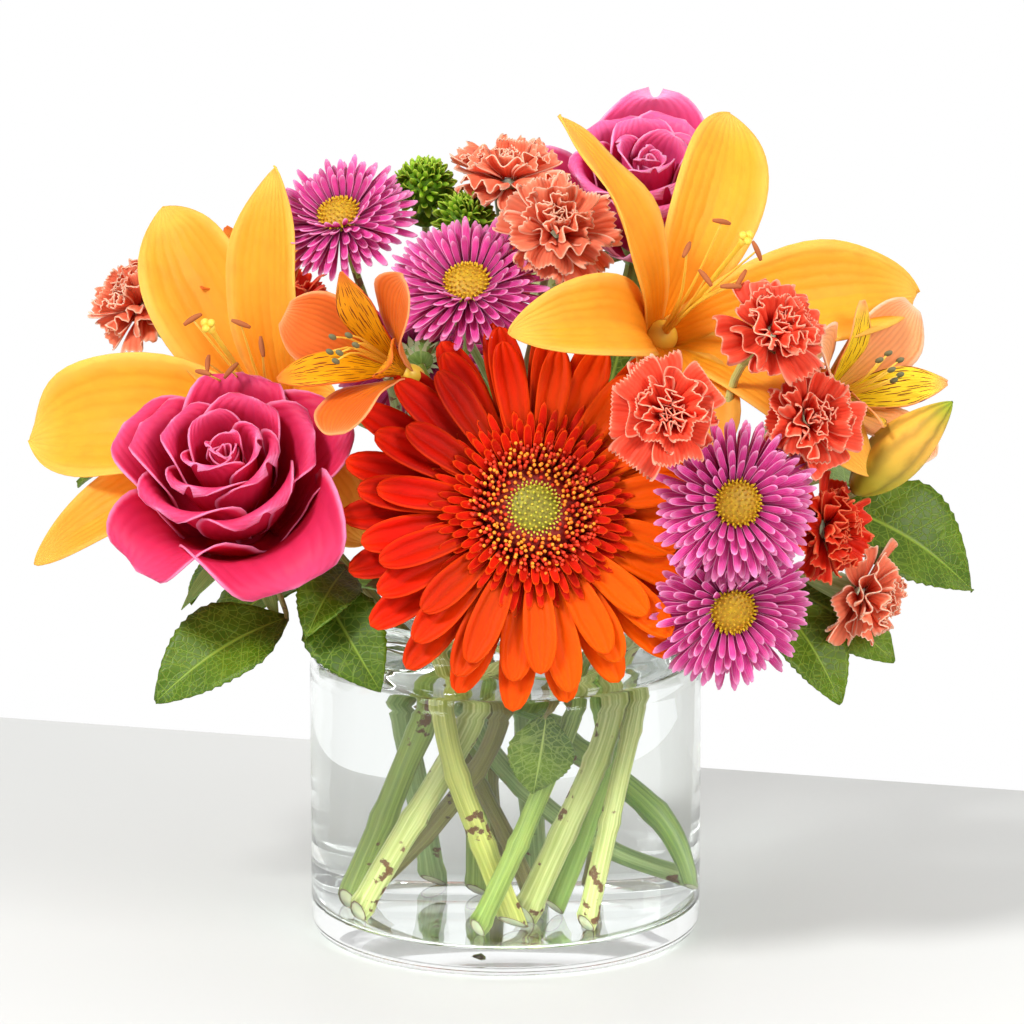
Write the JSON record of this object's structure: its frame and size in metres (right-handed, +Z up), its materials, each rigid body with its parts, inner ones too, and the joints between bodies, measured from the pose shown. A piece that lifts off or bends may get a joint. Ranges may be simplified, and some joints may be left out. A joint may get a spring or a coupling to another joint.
{
  "type": "flower bouquet in a glass vase",
  "caption": "Round bouquet of cut flowers and leaves standing in a squat clear glass vase of water, for display on a table.",
  "frame": {"origin": "middle of the vase's flat foot, on the surface it stands on", "axes": "+Z up along the vase's axis, -Y towards the front of the bouquet, where the gerbera faces, +X to the right seen from the front"},
  "size_m": [0.3049, 0.2107, 0.2791],
  "materials": {
    "vase_glass": "clear, polished",
    "water": null,
    "gerbera_rays": "fresh petal, satin",
    "gerbera_disc": "tight florets, matt",
    "lily_petal": "fresh petal, satin",
    "lily_bud": "fresh petal, satin",
    "rose_petal": "fresh petal, velvety",
    "aster_petal": "fresh petal, satin",
    "aster_disc": "tight florets, matt",
    "carnation_petal": "fresh petal, matt",
    "alstroemeria_petal": "fresh petal, satin",
    "button_floret": "tight florets, matt",
    "stem": "green living stem, satin",
    "salal": "leathery leaf, satin"
  },
  "bodies": {
    "root": {"vase": "vase_glass", "water": "water", "gerbera": "gerbera_rays", "gerbera_disc": "gerbera_disc", "lily_right": "lily_petal", "lily_left": "lily_petal", "lily_bud": "lily_bud", "rose_left": "rose_petal", "rose_back": "rose_petal", "aster_front": "aster_petal", "aster_low": "aster_petal", "aster_middle": "aster_petal", "aster_high": "aster_petal", "aster_rear_left": "aster_petal", "aster_front_disc": "aster_disc", "aster_low_disc": "aster_disc", "aster_middle_disc": "aster_disc", "aster_high_disc": "aster_disc", "aster_rear_left_disc": "aster_disc", "carnation_front": "carnation_petal", "carnation_middle": "carnation_petal", "carnation_high": "carnation_petal", "carnation_right": "carnation_petal", "carnation_side": "carnation_petal", "carnation_red": "carnation_petal", "carnation_low": "carnation_petal", "carnation_left": "carnation_petal", "carnation_rear": "carnation_petal", "carnation_rear_high": "carnation_petal", "alstroemeria_left": "alstroemeria_petal", "alstroemeria_right": "alstroemeria_petal", "alstroemeria_high": "alstroemeria_petal", "alstroemeria_rear": "alstroemeria_petal", "button_high": "button_floret", "button_middle": "button_floret", "lily_right_stem": "stem", "rose_back_stem": "stem", "carnation_right_stem": "stem", "aster_right_stem": "stem", "lily_left_stem": "stem", "alstroemeria_right_stem": "stem", "gerbera_stem": "stem", "rose_left_stem": "stem", "alstroemeria_left_stem": "stem", "carnation_top_stem": "stem", "aster_left_stem": "stem", "button_stem": "stem", "carnation_left_stem": "stem", "salal_left_stem": "salal", "salal_right_stem": "salal", "salal_back_stem": "salal"}
  },
  "joints": []
}
